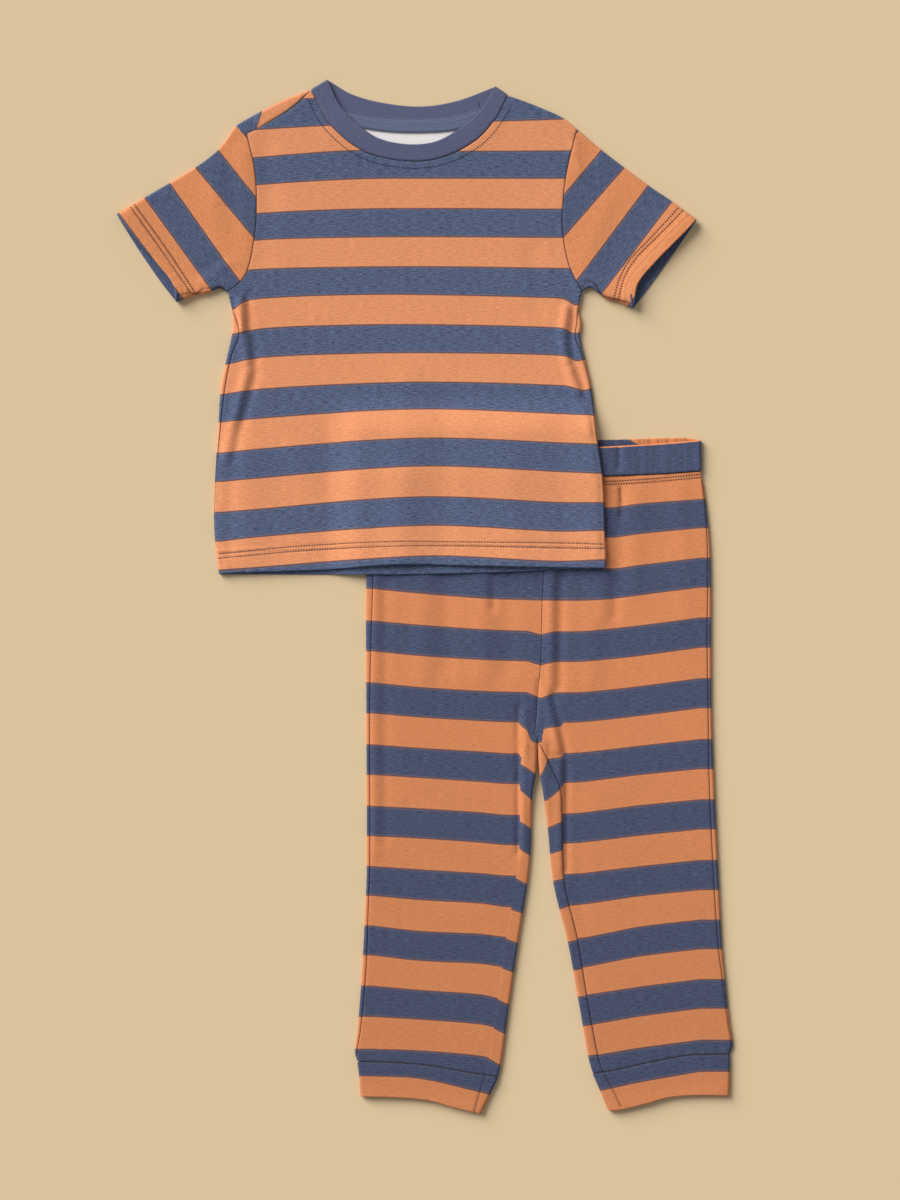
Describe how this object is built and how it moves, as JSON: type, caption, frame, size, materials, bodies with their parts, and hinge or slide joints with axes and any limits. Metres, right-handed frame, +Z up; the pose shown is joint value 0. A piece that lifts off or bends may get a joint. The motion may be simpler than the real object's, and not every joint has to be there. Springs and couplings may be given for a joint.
{
  "type": "toddler pyjama set laid flat",
  "caption": "Short-sleeved striped top laid flat over the waist of long striped trousers with sewn-on cuffs, with a round ribbed neck open to the inside.",
  "frame": {"origin": "centre of the laid set's outline, on the surface that it lies on", "axes": "+Y from the trousers' cuffs towards the top's neck, +X towards the side where the trousers show beside the top, +Z up from the surface"},
  "size_m": [0.4908, 0.8271, 0.0116],
  "materials": {
    "striped_jersey": "matt",
    "neck_rib": "matt",
    "neck_tape": "matt"
  },
  "bodies": {
    "root": {"top_front": "striped_jersey", "top_back": "striped_jersey", "sleeve_left": "striped_jersey", "sleeve_right": "striped_jersey", "neckband": "neck_rib", "neck_tape": "neck_tape", "trouser_front_left": "striped_jersey", "trouser_front_right": "striped_jersey", "trouser_back_left": "striped_jersey", "trouser_back_right": "striped_jersey", "waistband": "striped_jersey", "cuff_left": "striped_jersey", "cuff_right": "striped_jersey"}
  },
  "joints": []
}
